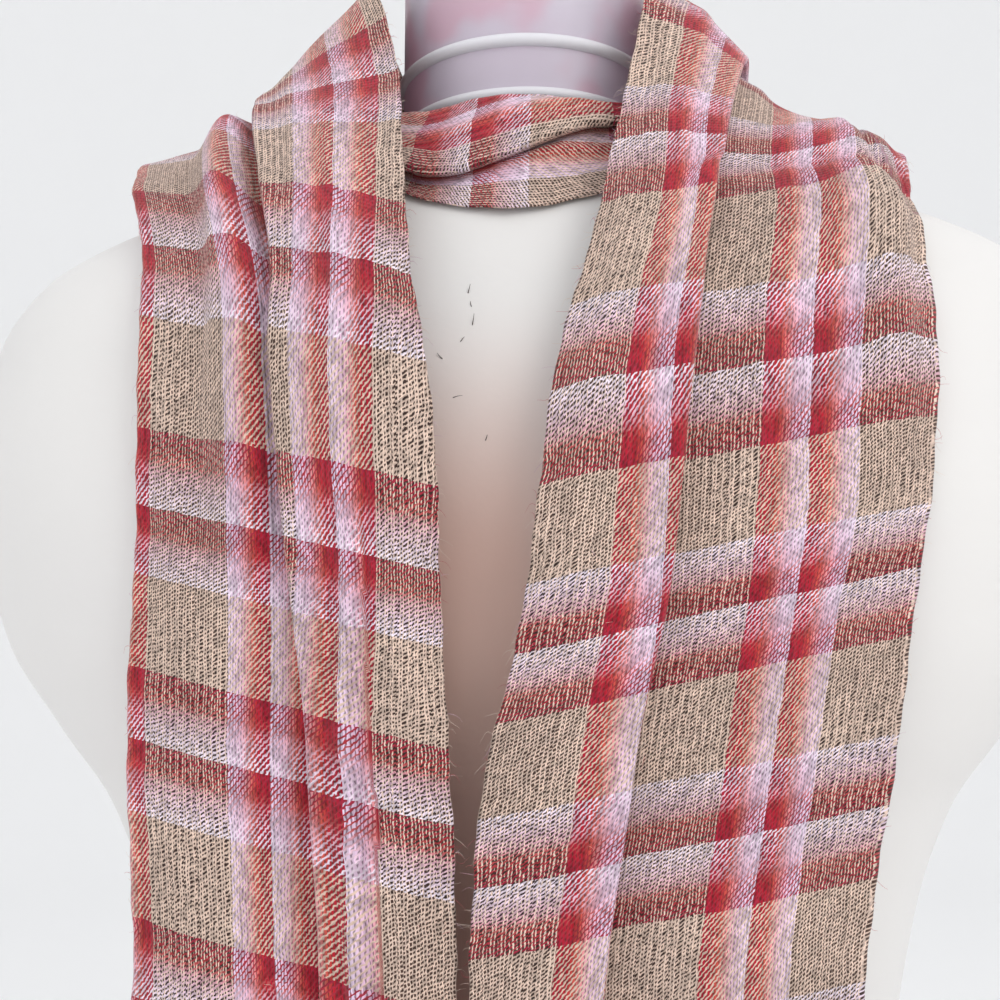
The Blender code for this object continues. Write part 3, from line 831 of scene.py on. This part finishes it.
    # A tone for every crossing of two yarns
    tone = n.between(n.cell_noise(warp_place, weft_place), *TONE_RANGE)
    weft_first = n.mix(weft_mask, n.mix(weft_below, gap_shade, weft_shaded), weft)
    warp_on_top = n.mix(warp_mask, weft_first, warp)
    warp_first = n.mix(warp_mask, n.mix(weft_below, gap_shade, weft_shaded), warp)
    weft_on_top = n.mix(weft_mask, warp_first, weft)
    colour = n.mix(warp_over, weft_on_top, warp_on_top)
    shade = n.between(n.noise(uv.outputs[0], SHADE_SCALE, 1.0), *SHADE_RANGE)
    colour = n.mix(1.0, colour, n.times(shade, tone), "MULTIPLY")
    n.put(n.shader.inputs["Base Color"], colour)
    n.shader.inputs["Roughness"].default_value = 0.92
    n.shader.inputs["Specular IOR Level"].default_value = 0.18
    n.shader.inputs["Sheen Weight"].default_value = 0.22
    n.shader.inputs["Sheen Roughness"].default_value = 0.55
    n.shader.inputs["Sheen Tint"].default_value = rgb(255, 236, 232)
    flat_u = n.times(place.outputs[0], 2 * math.pi * 1000.0 / RIB_PITCH)
    flat_v = n.times(place.outputs[1], 2 * math.pi * 1000.0 / WEFT_PITCH)
    relief = n.math("SUBTRACT", n.times(n.math("COSINE", flat_v), 0.3), n.math("COSINE", flat_u))
    n.bump(relief, 0.0002, 0.6)
    return n.material


def form_material():
    """Moulded white plastic with a fine, slightly uneven skin, and a warm shade painted on the chest between
    the two tails.
    """
    n = NodeMaker("form_white")
    place = n.tree.nodes.new("ShaderNodeTexCoord").outputs["Object"]
    colour = n.mix(n.noise(place, 9.0, 1.0), FORM_WHITE, FORM_GREY)
    # Painted shade: a warm, darker tone painted on the chest between the two tails, in place of the shade
    # and warm light that the cloth throws there
    at = n.tree.nodes.new("ShaderNodeSeparateXYZ")
    n.tree.links.new(place, at.inputs[0])
    from_middle = n.math("ABSOLUTE", n.add(at.outputs[0], 0.012))
    painted_shade = n.times(n.between(from_middle, 0.012, 0.060, 1.0, 0.0), n.between(at.outputs[2], 0.54, 0.42))
    painted_shade = n.times(painted_shade, n.math("LESS_THAN", at.outputs[1], 0.0))
    colour = n.mix(painted_shade, colour, FORM_PAINTED_SHADE)
    n.put(n.shader.inputs["Base Color"], colour)
    n.shader.inputs["Roughness"].default_value = 0.46
    n.bump(n.noise(place, 260.0, 1.0), 0.0002, 0.35)
    return n.material


def neck_material():
    """Frosted clear plastic."""
    n = NodeMaker("neck_clear")
    place = n.tree.nodes.new("ShaderNodeTexCoord").outputs["Object"]
    cloudy = n.noise(place, 26.0, 2.0)
    colour = n.mix(n.between(cloudy, 0.42, 0.62), NECK_BLUE, NECK_PINK)
    n.put(n.shader.inputs["Base Color"], colour)
    n.shader.inputs["Transmission Weight"].default_value = 0.40
    n.shader.inputs["IOR"].default_value = 1.30
    n.shader.inputs["Roughness"].default_value = 0.34
    n.bump(n.noise(place, 70.0, 2.0), 0.0003, 0.25)
    return n.material


def rib_material():
    """The thicker, whiter ribs of the neck."""
    n = NodeMaker("neck_rib")
    n.shader.inputs["Base Color"].default_value = RIB_WHITE
    n.shader.inputs["Roughness"].default_value = 0.5
    return n.material


def plain_material(name, colour, roughness=0.9):
    n = NodeMaker(name)
    n.shader.inputs["Base Color"].default_value = colour
    n.shader.inputs["Roughness"].default_value = roughness
    return n.material


def build_fibres(name, starts, leads, lengths, radius, bend, materials, shares, random):
    """Fine loose fibres: three-sided tubes that start at the given points and curl as they go."""
    count = len(starts)
    steps = np.linspace(0, 1, FIBRE_STEPS + 1)
    lead = leads / np.linalg.norm(leads, axis=1, keepdims=True)
    side = np.cross(lead, random.normal(size=(count, 3)))
    side /= np.linalg.norm(side, axis=1, keepdims=True)
    other = np.cross(lead, side)
    reach = lengths[:, None, None]
    t = steps[None, :, None]
    curl = np.sin(t * random.uniform(1.5, 4.5, (count, 1, 1))) * reach * bend
    line = starts[:, None, :] + lead[:, None, :] * reach * t + side[:, None, :] * curl
    line = line - np.array((0.0, 0.0, FIBRE_SAG))[None, None, :] * reach * t * t
    vertices = []
    for turn in (0.0, 2 * math.pi / 3, 4 * math.pi / 3):
        round_about = side * math.cos(turn) + other * math.sin(turn)
        vertices.append(line + round_about[:, None, :] * radius * (1 - 0.6 * t))
    vertices = np.stack(vertices, axis=2).reshape(-1, 3)
    faces = []
    picks = []
    chosen = random.choice(len(materials), size=count, p=shares)
    for k in range(count):
        first = k * 3 * (FIBRE_STEPS + 1)
        faces.append((first + 2, first + 1, first))
        for j in range(FIBRE_STEPS):
            a = first + 3 * j
            for here, there in ((0, 1), (1, 2), (2, 0)):
                faces.append((a + here, a + there, a + there + 3, a + here + 3))
        last = first + 3 * FIBRE_STEPS
        faces.append((last, last + 1, last + 2))
        picks += [int(chosen[k])] * (3 * FIBRE_STEPS + 2)
    fibres = new_object(name, vertices, faces, materials)
    fibres.data.polygons.foreach_set("material_index", picks)
    return fibres


def fibre_places(grid, random):
    """Where loose fibres start on a stretch, and which way they lead: from its free edge, from its
    end and from its face."""
    rows, cols = grid.shape[:2]
    normal = np.cross(np.gradient(grid, axis=0), np.gradient(grid, axis=1))
    normal /= np.linalg.norm(normal, axis=2, keepdims=True)
    open_end = cols - TURN_POINTS - UNDER_POINTS - 1
    starts = []
    leads = []
    for column, beside, count in ((0, 2, EDGE_FIBRES), (open_end + 3, open_end, EDGE_FIBRES // 2)):
        i = random.integers(1, rows - 1, count)
        outward = grid[i, column] - grid[i, beside]
        outward /= np.linalg.norm(outward, axis=1, keepdims=True)
        along = grid[i + 1, column] - grid[i, column]
        along /= np.linalg.norm(along, axis=1, keepdims=True)
        starts.append(grid[i, column])
        astray = along * random.normal(0, 0.8, (count, 1))
        raised = normal[i, column] * random.normal(0, 0.3, (count, 1))
        leads.append(outward + astray + raised)
    i = random.integers(1, rows - 1, FACE_FIBRES)
    j = random.integers(1, open_end, FACE_FIBRES)
    sideways = np.cross(normal[i, j], random.normal(size=(FACE_FIBRES, 3)))
    starts.append(grid[i, j])
    leads.append(sideways + normal[i, j] * random.normal(0, 0.5, (FACE_FIBRES, 1)))
    return np.concatenate(starts), np.concatenate(leads)


def build_scratches(material):
    """The few dark scratches on the chest, as fine raised lines."""
    marks = dict(zip(SCRATCH_COLUMNS, np.array(SCRATCHES, float).T))
    angle = np.radians(marks["angle"])
    height = marks["height"] * MM
    radius = form_radius(angle, height)
    starts = np.stack((radius * np.cos(angle), radius * np.sin(angle), height), axis=-1)
    lean = np.radians(marks["lean"])
    lengths = marks["length"] * MM
    leads = np.stack((np.sin(lean), np.zeros(len(lean)), np.cos(lean)), axis=-1)
    random = np.random.default_rng(5)
    return build_fibres(
        "chest_scratches", starts, leads, lengths, SCRATCH_RADIUS, SCRATCH_BEND, [material], [1.0], random
    )


def build_torso(material):
    heights = [0.0]
    heights += list(np.arange(0.003, 0.55, TORSO_RING_STEP))
    heights += list(np.linspace(0.552, NECK_SEAT_Z, 34))
    heights = np.array(heights)
    angle = np.linspace(0, 2 * math.pi, TORSO_SIDES, endpoint=False)[None, :]
    z = np.broadcast_to(heights[:, None], (len(heights), TORSO_SIDES))
    radius = form_radius(angle, z)
    points = np.stack((radius * np.cos(angle), radius * np.sin(angle), z), axis=-1).reshape(-1, 3)
    faces = []
    for i in range(len(heights) - 1):
        for k in range(TORSO_SIDES):
            a = i * TORSO_SIDES + k
            b = i * TORSO_SIDES + (k + 1) % TORSO_SIDES
            faces.append((a, b, b + TORSO_SIDES, a + TORSO_SIDES))
    last = (len(heights) - 1) * TORSO_SIDES
    faces.append(tuple(reversed(range(TORSO_SIDES))))
    faces.append(tuple(range(last, last + TORSO_SIDES)))
    torso = new_object("torso_skin", points, faces, [material])
    torso.data.set_sharp_from_angle(angle=math.radians(40))
    return torso


def build_neck(clear, rib):
    """The hollow neck: its profile turned round the Z axis, with whiter ribs."""
    seat = NECK_SEAT_Z + TOUCH_GAP
    profile = [(NECK_OUTER_RADIUS, seat)]
    ribbed = [False]
    for height in RIB_HEIGHTS:
        for turn in np.linspace(-math.pi / 2, math.pi / 2, 13):
            radius = NECK_OUTER_RADIUS + RIB_RADIUS * math.cos(turn)
            profile.append((radius, height + RIB_RADIUS * math.sin(turn)))
            ribbed.append(turn < math.pi / 2 - 0.01)
    lip = NECK_WALL / 2
    for turn in np.linspace(0, math.pi, 9):
        radius = NECK_OUTER_RADIUS - lip + lip * math.cos(turn)
        profile.append((radius, NECK_TOP_Z - lip + lip * math.sin(turn)))
        ribbed.append(False)
    profile.append((NECK_OUTER_RADIUS - NECK_WALL, seat))
    ribbed.append(False)
    count = len(profile)
    vertices = []
    for angle in np.linspace(0, 2 * math.pi, NECK_SIDES, endpoint=False):
        vertices += [(r * math.cos(angle), r * math.sin(angle), z) for r, z in profile]
    faces = []
    for k in range(NECK_SIDES):
        here = k * count
        there = (k + 1) % NECK_SIDES * count
        for j in range(count):
            after = (j + 1) % count
            faces.append((here + j, there + j, there + after, here + after))
    neck = new_object("neck_shell", vertices, faces, [clear, rib])
    neck.data.polygons.foreach_set("material_index", [int(r) for r in ribbed] * NECK_SIDES)
    neck.data.set_sharp_from_angle(angle=math.radians(50))
    return neck


def build_camera():
    data = bpy.data.cameras.new("camera")
    data.sensor_width = SENSOR_WIDTH
    data.lens = SENSOR_WIDTH * FOCAL_PIXELS / PICTURE_SIDE
    data.clip_start = 0.01
    camera = bpy.data.objects.new("camera", data)
    bpy.context.scene.collection.objects.link(camera)
    camera.location = (
        CAMERA_DISTANCE * math.sin(CAMERA_AZIMUTH),
        -CAMERA_DISTANCE * math.cos(CAMERA_AZIMUTH),
        CAMERA_HEIGHT,
    )
    camera.rotation_euler = (math.pi / 2 + CAMERA_PITCH, 0.0, CAMERA_YAW)
    bpy.context.scene.camera = camera


def build_stage():
    """A pale round floor that curves up into a wall, the same from every side."""
    n = NodeMaker("stage_pale")
    place = n.tree.nodes.new("ShaderNodeTexCoord").outputs["Object"]
    n.put(n.shader.inputs["Base Color"], n.mix(n.noise(place, 2.0), STAGE_LIGHT, STAGE_DIM))
    n.shader.inputs["Roughness"].default_value = 0.9
    profile = [(0.0, 0.0), (STAGE_RADIUS - STAGE_COVE, 0.0)]
    for turn in np.linspace(0, math.pi / 2, 13)[1:]:
        radius = STAGE_RADIUS - STAGE_COVE + STAGE_COVE * math.sin(turn)
        profile.append((radius, STAGE_COVE * (1 - math.cos(turn))))
    profile.append((STAGE_RADIUS, STAGE_WALL))
    vertices = []
    for angle in np.linspace(0, 2 * math.pi, STAGE_SIDES, endpoint=False):
        vertices += [(r * math.cos(angle), r * math.sin(angle), z) for r, z in profile[1:]]
    count = len(profile) - 1
    vertices.append((0.0, 0.0, 0.0))
    faces = []
    for k in range(STAGE_SIDES):
        here = k * count
        there = (k + 1) % STAGE_SIDES * count
        faces.append((len(vertices) - 1, here, there))
        for j in range(count - 1):
            faces.append((here + j, here + j + 1, there + j + 1, there + j))
    floor = new_object("floor", vertices, faces, [n.material])


def area_light(name, place, target, size, watts, colour=(1.0, 1.0, 1.0)):
    data = bpy.data.lights.new(name, "AREA")
    data.shape = "SQUARE"
    data.size = size
    data.energy = watts
    data.color = colour
    lamp = bpy.data.objects.new(name, data)
    bpy.context.scene.collection.objects.link(lamp)
    lamp.location = place
    away = np.array(place, float) - np.array(target, float)
    heading = math.atan2(away[0], -away[1])
    lamp.rotation_euler = (math.pi / 2 - math.atan2(away[2], math.hypot(away[0], away[1])), 0.0, heading)


def build_light():
    world = bpy.data.worlds.new("world")
    world.use_nodes = True
    background = world.node_tree.nodes["Background"]
    background.inputs["Color"].default_value = WORLD_COLOUR
    background.inputs["Strength"].default_value = WORLD_STRENGTH
    bpy.context.scene.world = world
    bpy.context.scene.view_settings.view_transform = "Standard"
    area_light("key", (1.2, -1.2, 1.5), (0.0, -0.05, 0.42), 1.0, KEY_WATTS, (1.0, 0.98, 0.96))
    area_light("fill", (-1.4, -1.5, 0.8), (0.0, 0.0, 0.40), 1.2, FILL_WATTS, (0.97, 0.98, 1.0))


build_camera()
build_light()
build_stage()
cloth = cloth_material()
torso = build_torso(form_material())
neck = build_neck(neck_material(), rib_material())
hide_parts("form_torso")
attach(torso, "root")
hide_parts("form_neck")
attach(neck, "root")

# Each stretch: its CAD node, its piece's name, its sections, how many rows it has along it, where it
# starts, and the width of cut that shows in it
STRETCHES = (
    (
        "scarf_left_tail", "left_tail_cloth",
        Stretch(LEFT_TAIL, LEFT_RIDGES, LEFT_CREASES, 1.0, LEFT_SETTLED_LIFT, tucks=LEFT_TUCKS),
        300, 0.0, 0.24,
    ),
    (
        "scarf_right_tail", "right_tail_cloth",
        Stretch(RIGHT_TAIL, RIGHT_RIDGES, RIGHT_CREASES, -1.0, RIGHT_SETTLED_LIFT, tucks=RIGHT_TUCKS),
        270, 0.0, 0.23,
    ),
    (
        "scarf_back_stretch", "back_stretch_cloth",
        Stretch(BACK_STRETCH, BACK_RIDGES, BACK_CREASES, -1.0),
        90, 0.001, 0.14,
    ),
    (
        "scarf_front_loop", "front_loop_cloth",
        Stretch(FRONT_LOOP, (), LOOP_CREASES, -1.0, rest_lift=LOOP_LIFT),
        90, 0.0, 0.09,
    ),
)
fibre_materials = [
    plain_material("fibre_cream", rgb(232, 214, 200)),
    plain_material("fibre_rose", rgb(196, 84, 96)),
    plain_material("fibre_mauve", rgb(206, 170, 190)),
]
places = []
for node, name, stretch, row_count, start, shown_width in STRETCHES:
    grid, u, v = cloth_grid(stretch, row_count, start)
    shell = cloth_shell(name, grid, u, v + 5 * BAND_REPEAT * MM, cloth)
    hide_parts(node)
    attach(shell, "root")
    if node.endswith("tail"):
        places.append(fibre_places(grid, np.random.default_rng(11 + len(places))))
starts = np.concatenate([place[0] for place in places])
leads = np.concatenate([place[1] for place in places])
random = np.random.default_rng(3)
lengths = random.uniform(*FIBRE_LENGTHS, len(starts))
fibres = build_fibres(
    "loose_fibres", starts, leads, lengths, FIBRE_RADIUS, FIBRE_BEND, fibre_materials, FIBRE_SHARES, random
)
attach(fibres, "root")
scratches = build_scratches(plain_material("scratch_grey", SCRATCH_GREY))
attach(scratches, "root")
